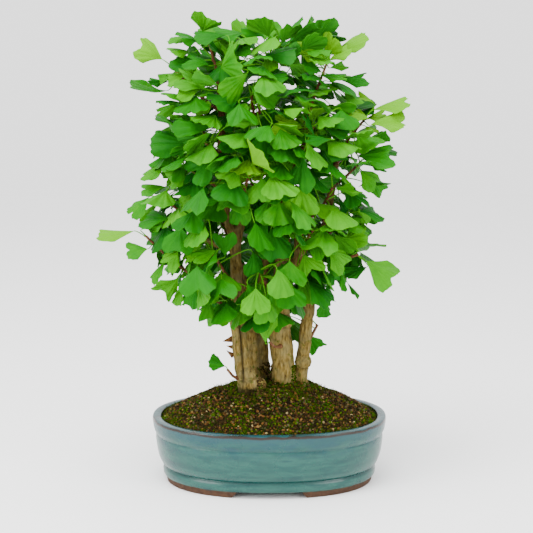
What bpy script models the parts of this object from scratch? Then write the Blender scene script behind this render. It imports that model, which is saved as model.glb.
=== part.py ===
"""Ginkgo bonsai in a glazed oval pot.

Five slim trunks rise from one foot in the soil. Each leafy shoot is a twig
with its fan-shaped leaves, grown together as one closed solid.
Lengths are in millimetres until a mesh is made, which is in metres.
"""

import math
import random

import bmesh
import bpy
from mathutils import Matrix, Vector
from mathutils.bvhtree import BVHTree

MM = 0.001
GAP = 0.3               # clearance between neighbouring pieces

# Pot
POT_LENGTH = 250.0      # along X, over the rim
POT_DEPTH = 190.0       # along Y, over the rim
POT_HEIGHT = 70.0
POT_SQUARENESS = 2.2    # exponent of the oval outline, 2 is an ellipse
POT_SEGMENTS = 40
SOIL_SEGMENTS = 20
RIM_WIDTH = 9.0
POT_WALL = 6.5
FLOOR_Z = 14.0          # top of the pot's floor
FOOT_HEIGHT = 7.0
FOOT_RING_WIDTH = 15.0
FRONT_ARCH = 80.0       # cut-out between the feet at front and back
SIDE_ARCH = 34.0
DRAIN_RADIUS = 10.0
DRAIN_X = 55.0
SCREEN_SIZE = 30.0      # square mesh over each drain hole
SCREEN_THICKNESS = 1.0

# Inset of the pot's wall from the rim's outline, with its height
POT_PROFILE = ((13.6, 7.0), (11.2, 10.0), (12.2, 17.5), (6.2, 28.0), (3.2, 45.0), (3.6, 52.0),
               (0.4, 60.0), (0.0, 70.0))

# Soil
SOIL_EDGE_Z = 66.5
SOIL_TOP_Z = 98.0
SOIL_BOTTOM_Z = 15.4

# Trunk foot, an oval plug sunk in the soil
FOOT_CENTRE = (4.0, -4.0)
FOOT_RADII = (50.0, 32.0)
FOOT_BOTTOM_Z = 70.0
FOOT_TOP_Z = 100.0
FOOT_SIDES = 16

# Trunks and limbs: centre points x, y, z with the radius there
TRUNKS = {
    "left": ((-22, -20, 92, 9), (-28, -25, 128, 7), (-34, -26, 176, 6), (-34, -26, 226, 6.2),
             (-36, -26, 262, 6), (-44, -26, 283, 5), (-48, -26, 335, 4.5), (-49, -26, 400, 3.6),
             (-53, -25, 430, 2.8)),
    "left_fork": ((-35, -26, 255, 5.5), (-28, -27, 282, 4.6), (-26, -27, 318, 3)),
    "left_low_limb": ((-34, -26, 205, 4.5), (-56, -29, 212, 3.6), (-78, -31, 222, 2.8)),
    "left_high_limb": ((-34, -26, 250, 4.5), (-54, -28, 256, 3.4), (-70, -29, 264, 2.6)),
    "grey": ((-15, 6, 92, 8), (-17, 5, 127, 6.6), (-21, 5, 162, 6.2), (-27, 5, 203, 5),
             (-30, 8, 232, 3.4)),
    "behind": ((-5, 12, 92, 7), (-8, 11, 137, 5.4), (-8, 12, 205, 5), (-3, 12, 250, 4.2),
               (1, 10, 300, 3)),
    "main": ((16, -5, 92, 14), (14, -5, 129, 11), (11, -5, 164, 10), (12, -5, 200, 9.6),
             (15, -5, 240, 8.6), (13, -6, 280, 7.4), (11, -6, 322, 6), (-1, -6, 362, 4.6),
             (-11, -7, 384, 3.4)),
    "main_fork": ((17, -8, 222, 7), (31, -14, 240, 6), (31, -15, 264, 5), (26, -14, 284, 3.4)),
    "main_high_limb": ((12, -8, 306, 5), (24, -14, 330, 4.2), (35, -18, 352, 3.6), (38, -18, 386, 2.8)),
    "right": ((33, 1, 92, 8), (34, 0, 117, 6.2), (38, 0, 155, 5.6), (43, 0, 193, 5.4), (52, 0, 232, 5),
              (60, 0, 276, 4.6), (69, 0, 335, 3.6), (72, 0, 352, 2.8)),
}
TRUNK_SIDES = 8
LIMB_SIDES = 6          # for a limb under THICK
THICK = 7.0
# Knobs and pruned stubs: centre, then radii along X, Y and Z
KNOBS = (((-24, -29, 119), (9, 8, 8)), ((36, -3, 127), (8.5, 8, 8)), ((34, -18, 250), (6.5, 6, 7)),
         ((-15, -29, 109), (11, 7, 6)), ((18, -14, 172), (6, 6, 7)))

# Leaves
BLADE = 0.7             # thickness of a blade
PETIOLE = 0.9           # radius of a leaf's stalk
CLEAR = 0.6             # what a leaf keeps free around itself
TWIG_ROOT = 2.1
TWIG_TIP = 1.7
TWIG_SIDES = 4
BROAD = 44.0            # a leaf wider than this has more points in its edge
SEED = 31

# Twigs: points that run outwards, the first inside the wood that each grows from
TWIGS = (
    ((-52, -25, 424), (-56, -25, 444), (-63, -20, 468)),
    ((-49, -26, 392), (-70, -20, 408), (-90, -12, 428), (-102, -8, 440)),
    ((-49, -26, 372), (-64, -34, 386), (-78, -34, 398)),
    ((-50, -26, 404), (-48, -44, 416), (-40, -50, 436)),
    ((-48, -26, 346), (-58, -44, 358), (-70, -40, 366)),
    ((-48, -26, 312), (-68, -30, 326), (-90, -18, 338)),
    ((-66, -29, 261), (-86, -26, 284), (-108, -20, 304)),
    ((-72, -30, 219), (-100, -32, 240), (-128, -30, 266)),
    ((-34, -26, 214), (-44, -48, 228), (-58, -58, 252)),
    ((-34, -27, 186), (-44, -48, 196), (-58, -56, 204)),
    ((-27, -28, 288), (-26, -52, 312), (-20, -72, 334)),
    ((13, -10, 286), (18, -40, 306), (24, -62, 328)),
    ((36, -18, 356), (40, -40, 366), (44, -54, 380)),
    ((32, -15, 250), (36, -44, 262), (44, -62, 276)),
    ((12, -10, 196), (0, -40, 212), (-12, -58, 236)),
    ((13, -12, 146), (6, -36, 150), (0, -50, 158)),
    ((58, -2, 262), (68, -18, 272), (78, -28, 288)),
    ((53, -2, 236), (72, -18, 238), (92, -26, 246)),
    ((66, -1, 312), (82, 2, 326), (96, 4, 340)),
    ((70, -2, 340), (78, -18, 346), (86, -28, 356)),
    ((71, -1, 346), (84, -4, 366), (98, -8, 384)),
    ((38, -18, 380), (44, -14, 402), (52, -10, 424), (60, -6, 444)),
    ((-10, -7, 380), (-10, -10, 406), (-4, -10, 432), (4, -8, 452)),
    ((-8, -7, 372), (-16, -34, 392), (-18, -54, 410)),
    ((36, 0, 140), (44, 10, 150), (52, 14, 164)),
    ((-28, -25, 112), (-38, -32, 118), (-44, -34, 126)),
    ((-35, -26, 246), (-48, 16, 268), (-60, 44, 292)),
    ((-48, -26, 330), (-60, 8, 352), (-72, 38, 372)),
    ((-50, -26, 396), (-44, -2, 412), (-40, 26, 428)),
    ((-27, 5, 198), (-44, 32, 214), (-64, 52, 232)),
    ((-3, 12, 244), (-8, 40, 262), (-8, 68, 282)),
    ((0, 11, 288), (-18, 38, 312), (-28, 66, 334)),
    ((11, -6, 314), (20, 34, 332), (26, 66, 352)),
    ((-3, -6, 362), (2, 22, 386), (4, 48, 412)),
    ((56, 0, 252), (70, 34, 268), (84, 58, 288)),
    ((69, 0, 334), (76, 28, 354), (84, 52, 376)),
    ((45, 0, 204), (52, 32, 216), (60, 60, 234)),
    ((30, -16, 270), (56, -36, 300), (64, -46, 318)),
)

# Leaves read one by one from the front: the fan's point (x, z), the middle of its far
# edge (x, z), the depth y, the width as seen from the front and the full width
READ_LEAVES = (
    (-68, 474, -62, 490, -20, 40, 40),
    (-72, 464, -92, 470, -26, 13, 34),
    (-44, 470, -74, 468, -30, 15, 38),
    (-61, 440, -86, 446, -42, 17, 36),
    (-110, 446, -136, 460, -10, 29, 38),
    (-81, 433, -106, 426, -20, 14, 32),
    (-96, 432, -114, 425, -5, 13, 28),
    (-105, 423, -126, 424, 5, 6, 28),
    (-106, 414, -144, 420, -12, 12, 46),
    (-88, 403, -117, 391, -5, 14, 38),
    (-63, 416, -94, 430, -45, 26, 40),
    (-75, 388, -63, 405, -34, 14, 28),
    (-48, 438, -30, 449, -57, 42, 46),
    (-38, 448, -22, 464, -36, 17, 34),
    (-22, 433, -44, 409, -64, 30, 42),
    (-54, 380, -94, 386, -62, 22, 48),
    (-78, 360, -120, 363, -26, 32, 46),
    (-79, 359, -97, 346, -42, 17, 30),
    (-44, 380, -18, 396, -72, 26, 42),
    (-56, 351, -80, 332, -70, 34, 46),
    (-98, 341, -132, 325, -10, 9, 44),
    (-81, 333, -104, 322, -40, 20, 38),
    (-108, 315, -133, 312, -15, 14, 32),
    (-68, 318, -89, 297, -45, 26, 38),
    (-125, 305, -144, 286, -20, 20, 34),
    (-115, 298, -136, 280, 0, 9, 28),
    (-106, 302, -83, 289, -20, 13, 34),
    (-140, 271, -176, 267, -30, 10, 44),
    (-132, 273, -109, 281, -36, 9, 32),
    (-125, 254, -146, 252, -42, 18, 30),
    (-89, 279, -94, 252, -60, 40, 44),
    (-93, 254, -107, 235, -50, 21, 34),
    (-106, 240, -122, 219, -30, 6, 36),
    (-93, 226, -112, 207, -56, 30, 40),
    (-68, 267, -89, 284, -50, 19, 36),
    (-72, 243, -72, 216, -85, 44, 46),
    (-48, 229, -48, 210, -82, 38, 42),
    (-45, 249, -47, 274, -60, 30, 34),
    (-89, 214, -98, 198, -45, 10, 26),
    (-74, 214, -84, 196, -60, 19, 32),
    (-62, 206, -62, 184, -72, 20, 34),
    (-43, 204, -48, 187, -76, 27, 36),
    (-70, 222, -66, 204, -96, 26, 36),
    (-17, 345, -8, 357, -95, 48, 50),
    (-29, 340, -48, 326, -84, 28, 38),
    (-7, 331, -12, 306, -86, 34, 42),
    (-11, 363, -38, 366, -80, 17, 40),
    (-29, 308, -30, 282, -64, 28, 36),
    (33, 353, 25, 317, -84, 32, 42),
    (0, 311, 2, 284, -80, 38, 42),
    (30, 323, 32, 292, -74, 45, 48),
    (2, 342, 6, 316, -62, 28, 36),
    (33, 379, 4, 384, -62, 31, 38),
    (45, 369, 33, 394, -58, 8, 34),
    (52, 383, 80, 375, -50, 15, 44),
    (60, 369, 34, 370, -64, 10, 34),
    (62, 398, 86, 390, -34, 24, 38),
    (55, 277, 47, 257, -70, 42, 46),
    (34, 251, 46, 232, -66, 34, 38),
    (20, 248, 21, 220, -84, 40, 42),
    (59, 256, 80, 237, -58, 27, 40),
    (-17, 254, -14, 230, -66, 24, 32),
    (-22, 224, -10, 200, -82, 28, 38),
    (-1, 284, -18, 266, -64, 26, 38),
    (6, 226, 16, 206, -62, 26, 34),
    (-4, 160, -6, 192, -62, 34, 38),
    (76, 262, 101, 268, -30, 28, 38),
    (68, 280, 97, 280, -36, 18, 38),
    (92, 292, 104, 278, -6, 14, 26),
    (73, 324, 98, 296, -16, 24, 44),
    (100, 240, 130, 219, -30, 36, 46),
    (102, 231, 79, 225, -20, 16, 30),
    (82, 214, 94, 198, -12, 6, 28),
    (75, 225, 79, 206, -24, 7, 26),
    (60, 214, 66, 192, -14, 14, 28),
    (63, 238, 68, 216, -34, 13, 30),
    (98, 343, 122, 331, -8, 7, 34),
    (104, 322, 122, 306, 12, 22, 34),
    (90, 350, 127, 351, -40, 27, 50),
    (80, 346, 59, 362, -50, 18, 38),
    (92, 334, 112, 318, -34, 24, 36),
    (107, 394, 142, 402, -10, 15, 44),
    (103, 379, 138, 384, -22, 19, 42),
    (109, 400, 90, 410, 2, 9, 30),
    (102, 386, 81, 394, -18, 16, 34),
    (100, 377, 112, 370, 4, 6, 24),
    (55, 449, 30, 473, -6, 12, 46),
    (58, 450, 66, 470, -16, 30, 36),
    (63, 450, 98, 470, 0, 17, 44),
    (60, 444, 82, 457, -14, 9, 32),
    (63, 437, 80, 441, 6, 11, 28),
    (73, 425, 102, 427, -6, 14, 36),
    (50, 444, 32, 453, -18, 10, 30),
    (53, 433, 34, 442, -28, 13, 32),
    (76, 412, 92, 396, -16, 20, 32),
    (-5, 468, -28, 482, -15, 19, 38),
    (-12, 458, 4, 467, -28, 12, 28),
    (11, 460, 6, 474, -10, 7, 26),
    (14, 456, 25, 466, 2, 4, 26),
    (-8, 448, 26, 454, -42, 19, 46),
    (-19, 420, 8, 406, -68, 26, 46),
    (-13, 426, 18, 430, -54, 13, 40),
    (-30, 404, -24, 382, -76, 34, 40),
    (34, 179, 22, 184, 15, 14, 26),
    (42, 151, 56, 135, 26, 22, 34),
    (56, 194, 58, 177, -10, 21, 26),
    (-46, 130, -62, 138, -38, 14, 24),
)

# Outline of the crown from the front: height, left edge, right edge, half depth
CROWN = ((150, -30, 40, 60), (172, -66, 62, 80), (200, -108, 90, 96), (230, -128, 122, 106),
         (262, -150, 122, 112), (300, -138, 112, 112), (340, -128, 124, 108), (375, -112, 128, 100),
         (405, -120, 126, 90), (435, -122, 100, 78), (465, -104, 88, 60), (486, -66, 60, 40))
LEAVES_ON_TWIG = 7      # grown by rule up to this many on a twig
FILLERS = 3             # and never fewer than this
FILLER_WIDTHS = (37.0, 50.0)
TRIES = 90              # places tried for a leaf


def remove_everything():
    for thing in list(bpy.data.objects):
        bpy.data.objects.remove(thing, do_unlink=True)


def material(name, colour, roughness):
    mat = bpy.data.materials.new(name)
    mat.use_nodes = True
    shader = mat.node_tree.nodes["Principled BSDF"]
    shader.inputs["Base Color"].default_value = (*colour, 1.0)
    shader.inputs["Roughness"].default_value = roughness
    shader.inputs["Metallic"].default_value = 0.0
    mat.diffuse_color = (*colour, 1.0)
    return mat


def solid(name, points, faces, mat=None):
    """A closed object from points in millimetres, with its faces turned outwards."""
    mesh = bpy.data.meshes.new(name)
    mesh.from_pydata([Vector(p) * MM for p in points], [], faces)
    bm = bmesh.new()
    bm.from_mesh(mesh)
    bmesh.ops.triangulate(bm, faces=bm.faces[:])
    bmesh.ops.recalc_face_normals(bm, faces=bm.faces[:])
    bm.to_mesh(mesh)
    bm.free()
    thing = bpy.data.objects.new(name, mesh)
    bpy.context.scene.collection.objects.link(thing)
    if mat:
        mesh.materials.append(mat)
    return thing


def boolean(thing, operation, operands):
    """Apply one Boolean of thing with the operands, and remove them."""
    group = bpy.data.collections.new("operands")
    bpy.context.scene.collection.children.link(group)
    for other in operands:
        group.objects.link(other)
    modifier = thing.modifiers.new("Boolean", "BOOLEAN")
    modifier.operation = operation
    modifier.operand_type = "COLLECTION"
    modifier.collection = group
    bpy.context.view_layer.update()
    shaped = bpy.data.meshes.new_from_object(thing.evaluated_get(bpy.context.evaluated_depsgraph_get()))
    thing.modifiers.clear()
    thing.data = shaped
    for other in operands:
        bpy.data.objects.remove(other, do_unlink=True)
    bpy.data.collections.remove(group)
    return thing


def oval(inset, z, segments=POT_SEGMENTS, radii=(POT_LENGTH / 2, POT_DEPTH / 2), centre=(0.0, 0.0),
         power=POT_SQUARENESS):
    """Points round a squarish oval, inset from its two half widths."""
    ring = []
    for i in range(segments):
        turn = math.tau * i / segments
        c, s = math.cos(turn), math.sin(turn)
        x = math.copysign(abs(c) ** (2 / power), c) * (radii[0] - inset)
        y = math.copysign(abs(s) ** (2 / power), s) * (radii[1] - inset)
        ring.append(Vector((x + centre[0], y + centre[1], z)))
    return ring


def loft(rings, closed_loop=False):
    """Faces that join equal rings in order, capped at both ends or joined last to first."""
    count = len(rings[0])
    points = [p for ring in rings for p in ring]
    faces = []
    spans = len(rings) if closed_loop else len(rings) - 1
    for k in range(spans):
        low, high = k * count, (k + 1) % len(rings) * count
        for i in range(count):
            j = (i + 1) % count
            faces.append((low + i, low + j, high + j, high + i))
    if not closed_loop:
        faces.append(tuple(range(count))[::-1])
        faces.append(tuple(range((len(rings) - 1) * count, len(rings) * count)))
    return points, faces


def wedge(half_x_low, half_x_high, half_y_low, half_y_high, low, high):
    """A block with sloped sides between two heights."""
    points = []
    for hx, hy, z in ((half_x_low, half_y_low, low), (half_x_high, half_y_high, high)):
        points += [Vector((-hx, -hy, z)), Vector((hx, -hy, z)), Vector((hx, hy, z)), Vector((-hx, hy, z))]
    return loft([points[:4], points[4:]])


def pot_inset(z):
    """Inset of the pot's outer wall at a height."""
    for (inset_a, z_a), (inset_b, z_b) in zip(POT_PROFILE, POT_PROFILE[1:]):
        if z_a <= z <= z_b:
            return inset_a + (inset_b - inset_a) * (z - z_a) / (z_b - z_a)
    return POT_PROFILE[-1][0]


def build_pot(mat):
    """The outer wall, the rim and the inside in one shell, on a cut foot ring with two drain holes."""
    rings = [oval(inset, z) for inset, z in POT_PROFILE]
    rings += [oval(RIM_WIDTH, POT_HEIGHT), oval(RIM_WIDTH + 0.6, 55.0)]
    rings += [oval(pot_inset(30.0) + POT_WALL, 30.0), oval(pot_inset(FLOOR_Z) + POT_WALL + 4, FLOOR_Z)]
    pot = solid("pot", *loft(rings), mat)
    base = POT_PROFILE[0][0]
    ring = solid("foot_ring", *loft([oval(base + 1.2, 0.0), oval(base, FOOT_HEIGHT + 0.6),
                                     oval(base + FOOT_RING_WIDTH, FOOT_HEIGHT + 0.6),
                                     oval(base + FOOT_RING_WIDTH - 2, 0.0)], closed_loop=True))
    slope = 7.0
    front = solid("front_arch", *wedge(FRONT_ARCH / 2, FRONT_ARCH / 2 - slope, 120, 120, -1, FOOT_HEIGHT))
    side = solid("side_arch", *wedge(150, 150, SIDE_ARCH / 2, SIDE_ARCH / 2 - slope, -1, FOOT_HEIGHT))
    boolean(ring, "DIFFERENCE", [front, side])
    boolean(pot, "UNION", [ring])
    drains = []
    for x in (-DRAIN_X, DRAIN_X):
        radii = (DRAIN_RADIUS, DRAIN_RADIUS)
        drains.append(solid("drain", *loft([oval(0, z, 16, radii, (x, 0.0), 2.0) for z in (4.0, 18.0)])))
    boolean(pot, "DIFFERENCE", drains)
    return pot


def build_screens(mat):
    """A square of plastic mesh over each drain hole, as a thin plate."""
    low = FLOOR_Z + GAP
    half = SCREEN_SIZE / 2
    for name, x in (("drain_screen_left", -DRAIN_X), ("drain_screen_right", DRAIN_X)):
        points, faces = wedge(half, half, half, half, low, low + SCREEN_THICKNESS)
        solid(name, [p + Vector((x, 0, 0)) for p in points], faces, mat)


def build_soil(mat):
    """A mound that fills the pot, with a plain oval socket for the trunk foot."""
    count = SOIL_SEGMENTS
    rings = [oval(pot_inset(FLOOR_Z) + POT_WALL + 5.6, SOIL_BOTTOM_Z + 1.2, count),
             oval(pot_inset(30.0) + POT_WALL + 0.6, 31.0, count), oval(RIM_WIDTH + 1.1, 55.0, count),
             oval(RIM_WIDTH + 0.5, SOIL_EDGE_Z - 1.5, count)]
    rise = SOIL_TOP_Z - SOIL_EDGE_Z
    for step in range(1, 4):
        share = step / 4
        height = SOIL_EDGE_Z + rise * math.sin(share * math.pi / 2)
        inner = (FOOT_RADII[0] + 4) * share + (POT_LENGTH / 2 - RIM_WIDTH) * (1 - share)
        deep = (FOOT_RADII[1] + 4) * share + (POT_DEPTH / 2 - RIM_WIDTH) * (1 - share)
        rings.append(oval(0, height, count, (inner, deep)))
    rings.append(oval(0, SOIL_TOP_Z, count, FOOT_RADII, FOOT_CENTRE))
    soil = solid("soil", *loft(rings), mat)
    socket = [oval(-2 * GAP, z, FOOT_SIDES, FOOT_RADII, FOOT_CENTRE, 2.0)
              for z in (FOOT_BOTTOM_Z - GAP, SOIL_TOP_Z + 30)]
    return boolean(soil, "DIFFERENCE", [solid("socket", *loft(socket))])


def sweep(path, radii, sides):
    """A closed tube of flat sides along a path, with each ring square to it."""
    path = [Vector(p) for p in path]
    rings = []
    across = None
    for i, point in enumerate(path):
        ahead = (path[min(i + 1, len(path) - 1)] - path[max(i - 1, 0)]).normalized()
        if across is None:
            across = ahead.orthogonal().normalized()
        across = (across - ahead * across.dot(ahead)).normalized()
        up = ahead.cross(across)
        rings.append([point + (across * math.cos(math.tau * k / sides)
                               + up * math.sin(math.tau * k / sides)) * radii[i] for k in range(sides)])
    return loft(rings)


def ball(centre, radii, sides=8, bands=4):
    """A closed knob with flat facets."""
    rings = []
    for k in range(bands + 1):
        lift = math.radians(-72 + 144 * k / bands)
        rings.append([Vector((centre[0] + radii[0] * math.cos(lift) * math.cos(math.tau * i / sides),
                              centre[1] + radii[1] * math.cos(lift) * math.sin(math.tau * i / sides),
                              centre[2] + radii[2] * math.sin(lift))) for i in range(sides)])
    return loft(rings)


def build_tree(mat):
    """All the trunks, limbs and knobs, grown together on one foot."""
    foot = [oval(0, FOOT_BOTTOM_Z, FOOT_SIDES, FOOT_RADII, FOOT_CENTRE, 2.0),
            oval(0, FOOT_TOP_Z - 3, FOOT_SIDES, FOOT_RADII, FOOT_CENTRE, 2.0),
            oval(7, FOOT_TOP_Z + 1, FOOT_SIDES, FOOT_RADII, FOOT_CENTRE, 2.0),
            oval(17, FOOT_TOP_Z + 4, FOOT_SIDES, FOOT_RADII, FOOT_CENTRE, 2.0)]
    tree = solid("tree", *loft(foot), mat)
    limbs = []
    for name, course in TRUNKS.items():
        radii = [c[3] for c in course]
        sides = TRUNK_SIDES if max(radii) > THICK else LIMB_SIDES
        limbs.append(solid(name, *sweep([c[:3] for c in course], radii, sides)))
    for centre, radii in KNOBS:
        limbs.append(solid("knob", *ball(centre, radii)))
    return boolean(tree, "UNION", limbs)


def surface(thing):
    """A search tree over an object's faces, in millimetres."""
    points = [v.co / MM for v in thing.data.vertices]
    return BVHTree.FromPolygons(points, [tuple(f.vertices) for f in thing.data.polygons])


def clearance(wood, point):
    """Signed distance from a point to the wood, negative inside it."""
    spot, normal, _, distance = wood.find_nearest(point)
    return distance if (point - spot).dot(normal) > 0 else -distance


def trim_to_wood(course, wood):
    """Start a twig where its end face just clears the wood it grows from."""
    course = [Vector(p) for p in course]
    ahead = (course[1] - course[0]).normalized()
    side = ahead.orthogonal().normalized()
    over = ahead.cross(side)
    travel = 0.0
    while travel < (course[1] - course[0]).length - 3:
        start = course[0] + ahead * travel
        rim = [start + (side * math.cos(k * math.pi / 4) + over * math.sin(k * math.pi / 4)) * TWIG_ROOT * 1.02
               for k in range(8)]
        if min(clearance(wood, p) for p in rim + [start]) > GAP + 0.03:
            stem = sweep([start] + course[1:], [TWIG_ROOT + GAP] * len(course), TWIG_SIDES)
            if not BVHTree.FromPolygons(*stem).overlap(wood):
                break
        travel += 0.06
    return [start] + course[1:]


def bend(course):
    """Two points in each span of a twig on a smooth curve through its points."""
    points = [course[0] * 2 - course[1]] + course + [course[-1] * 2 - course[-2]]
    smooth = [course[0]]
    for k in range(1, len(points) - 2):
        before, a, b, after = points[k - 1:k + 3]
        middle = (a + b) * 0.5625 - (before + after) * 0.0625
        smooth += [middle, b]
    return smooth


def leaf(root, apex, along, normal, reach, width, edge, slack=0.0):
    """A fan blade with a wavy edge on a thin stalk. slack makes it thicker, for testing room."""
    along = along.normalized()
    normal = (normal - along * normal.dot(along)).normalized()
    across = along.cross(normal)
    travel = (apex - root).normalized()
    halfway = (travel + along).normalized()
    top = (normal - halfway * normal.dot(halfway)).normalized()
    stalk = PETIOLE + slack
    points = []
    for centre, heading in ((root, travel), (apex, halfway)):
        lift = (top - heading * top.dot(heading)).normalized()
        beside = heading.cross(lift)
        points += [centre + lift * stalk, centre - lift * stalk / 2 - beside * stalk * 0.87,
                   centre - lift * stalk / 2 + beside * stalk * 0.87]
    count = len(edge)
    spread = math.asin(min(0.97, width / 2 / reach))
    rim = []
    for i, (share, wave) in enumerate(edge):
        angle = spread * (2 * i / (count - 1) - 1)
        droop = 0.12 * reach * (angle / spread) ** 2
        rim.append(apex + along * math.cos(angle) * reach * share + across * math.sin(angle) * reach * share
                   + normal * (wave - droop))
    points += [p + normal * slack for p in rim]
    points += [p - normal * (BLADE + slack) for p in rim]
    a, b, c, t, u = 3, 4, 5, 6, 6 + count
    last = count - 1
    middle = count // 2
    faces = [(0, 2, 1), (0, 1, b, a), (1, 2, c, b), (2, 0, a, c), (a, b, u, t), (a, t + last, u + last, c),
             (b, c, u + middle)]
    for i in range(last):
        faces.append((a, t + i, t + i + 1))
        faces.append((b if i < middle else c, u + i + 1, u + i))
        faces.append((t + i, u + i, u + i + 1, t + i + 1))
    return points, faces


def wavy_edge(dice, count, notched):
    """Share of the reach and height of each edge point of a fan."""
    edge = []
    for i in range(count):
        share = 0.84 if i in (0, count - 1) else dice.uniform(0.95, 1.04)
        if i == count // 2:
            share = dice.uniform(0.70, 0.84) if notched else dice.uniform(0.9, 1.0)
        edge.append((share, dice.uniform(-2.2, 2.2)))
    return edge


class Crown:
    """Everything grown so far, to find room for one more leaf."""

    def __init__(self, solids):
        self.fixed = solids
        self.twigs = []
        self.leaves = []

    def has_room(self, shape, centre, reach, own):
        points, faces = shape
        whole = BVHTree.FromPolygons(points, faces)
        if any(whole.overlap(other) for other in self.fixed):
            return False
        blade = BVHTree.FromPolygons(points[3:], [tuple(v - 3 for v in f) for f in faces if min(f) > 2])
        for index, twig in enumerate(self.twigs):
            if (blade if index == own else whole).overlap(twig):
                return False
        for other, middle, size in self.leaves:
            if (middle - centre).length < size + reach and whole.overlap(other):
                return False
        return True

    def add(self, shape, centre, reach):
        self.leaves.append((BVHTree.FromPolygons(*shape), centre, reach))


def place(crown, own, root, apex, along, normal, reach, width, edge):
    """The leaf's points and faces if there is room for it, or None."""
    travel = apex - root
    if travel.length < 7 or travel.normalized().dot(along.normalized()) < -0.35:
        return None
    if abs((travel.normalized() + along.normalized()).normalized().dot(normal.normalized())) > 0.93:
        return None
    centre = apex + along.normalized() * reach / 2 + (root - apex) / 2
    size = (reach + travel.length) / 2 + 6
    shape = leaf(root, apex, along, normal, reach, width, edge, CLEAR)
    near_twig = root + travel.normalized() * min(5.0, travel.length / 3)
    short = leaf(near_twig, apex, along, normal, reach, width, edge, CLEAR)
    if not crown.has_room(short, centre, size, own):
        return None
    crown.add(short, centre, size)
    return leaf(root, apex, along, normal, reach, width, edge)


def grow_read_leaf(crown, twigs, spec, dice):
    """Put a leaf read from the front view on the nearest stretch of any twig that leaves room."""
    x, z, tip_x, tip_z, depth, seen, width = spec
    edge = wavy_edge(dice, 7 if width > BROAD else 5, dice.random() < 0.5)
    run = math.hypot(tip_x - x, tip_z - z)
    reach = max(run, 0.66 * width)
    lean = math.acos(min(1.0, run / reach)) * (1 if depth < 0 or dice.random() < 0.5 else -1)
    roll = math.acos(min(1.0, seen / width))
    ahead = Vector((tip_x - x, 0, tip_z - z)).normalized()
    along = ahead * math.cos(lean) + Vector((0, -1, 0)) * math.sin(lean)
    facing = Vector((0, -1, 0)) * math.cos(lean) - ahead * math.sin(lean)
    turned = [Matrix.Rotation(sign * roll, 3, along) @ facing for sign in (1, -1)]
    turned.sort(key=lambda n: -n.z - dice.uniform(0, 0.3))
    for shift in (0, -5, 5, -10, 10, -15, 15, -21, 21, -28, 28):
        apex = Vector((x, depth + shift, z))
        roots = [(number, root) for number, twig in enumerate(twigs) for root in twig["roots"]]
        roots.sort(key=lambda pair: (pair[1] - apex).length)
        for normal in turned:
            for number, root in roots[:12]:
                grown = place(crown, number, root, apex, along, normal, reach, width, edge)
                if grown:
                    twigs[number]["leaves"].append(grown)
                    return True
    return False


def crown_at(z):
    """Left edge, right edge and half depth of the crown at a height."""
    for low, high in zip(CROWN, CROWN[1:]):
        if low[0] <= z <= high[0]:
            share = (z - low[0]) / (high[0] - low[0])
            return [a + (b - a) * share for a, b in zip(low[1:], high[1:])]
    return None


def inside_crown(point):
    edges = crown_at(point.z)
    if not edges:
        return False
    left, right, depth = edges
    middle, half = (left + right) / 2, (right - left) / 2
    return ((point.x - middle) / half) ** 2 + (point.y / depth) ** 2 < 1


def grow_filler(crown, number, twig, dice):
    """A leaf grown by rule: it leans outwards, and hangs more the lower it grows."""
    for _ in range(TRIES):
        root = dice.choice(twig["roots"])
        outward = Vector((root.x, root.y, 0)).normalized()
        swing = Vector((dice.uniform(-1, 1), dice.uniform(-1, 1), dice.uniform(-0.5, 0.9)))
        way = (outward * 0.7 + swing).normalized()
        apex = root + way * dice.uniform(13, 32)
        hang = math.radians(-25 + 75 * min(1, max(0, (460 - apex.z) / 260)) + dice.uniform(-25, 25))
        yaw = Matrix.Rotation(math.radians(dice.uniform(-65, 65)), 3, "Z")
        flat = yaw @ outward
        along = flat * math.cos(hang) - Vector((0, 0, 1)) * math.sin(hang)
        normal = flat * math.sin(hang) + Vector((0, 0, 1)) * math.cos(hang)
        normal = Matrix.Rotation(math.radians(dice.uniform(-30, 30)), 3, along) @ normal
        width = dice.uniform(*FILLER_WIDTHS)
        reach = width * dice.uniform(0.62, 0.74)
        if not inside_crown(apex + along * reach):
            continue
        grown = place(crown, number, root, apex, along, normal, reach, width,
                      wavy_edge(dice, 5, dice.random() < 0.3))
        if grown:
            twig["leaves"].append(grown)
            return True
    return False


def build_shoots(crown, wood, foliage):
    """Every twig first, then the leaves read one by one, then the leaves grown by rule."""
    twigs = []
    for course in TWIGS:
        course = bend(trim_to_wood(course, wood))
        radii = [TWIG_ROOT + (TWIG_TIP - TWIG_ROOT) * i / (len(course) - 1) for i in range(len(course))]
        roots = []
        for a, b in zip(course[1:], course[2:]):
            roots += [a.lerp(b, share) for share in (0.1, 0.4, 0.7)]
        roots.append(course[-1].lerp(course[-2], 0.12))
        twigs.append({"shape": sweep(course, radii, TWIG_SIDES), "roots": roots, "leaves": []})
        crown.twigs.append(BVHTree.FromPolygons(*sweep(course, [r + CLEAR / 2 for r in radii], TWIG_SIDES)))
    for index, spec in enumerate(READ_LEAVES):
        grow_read_leaf(crown, twigs, spec, random.Random(SEED * 1000 + index))
    for number, twig in enumerate(twigs):
        for index in range(max(FILLERS, LEAVES_ON_TWIG - len(twig["leaves"]))):
            grow_filler(crown, number, twig, random.Random(SEED * 100000 + number * 100 + index))
    for number, twig in enumerate(twigs):
        shoot = solid(f"shoot_{number + 1:02d}", *twig["shape"], foliage)
        boolean(shoot, "UNION", [solid("leaf", *shape) for shape in twig["leaves"]])


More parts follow.
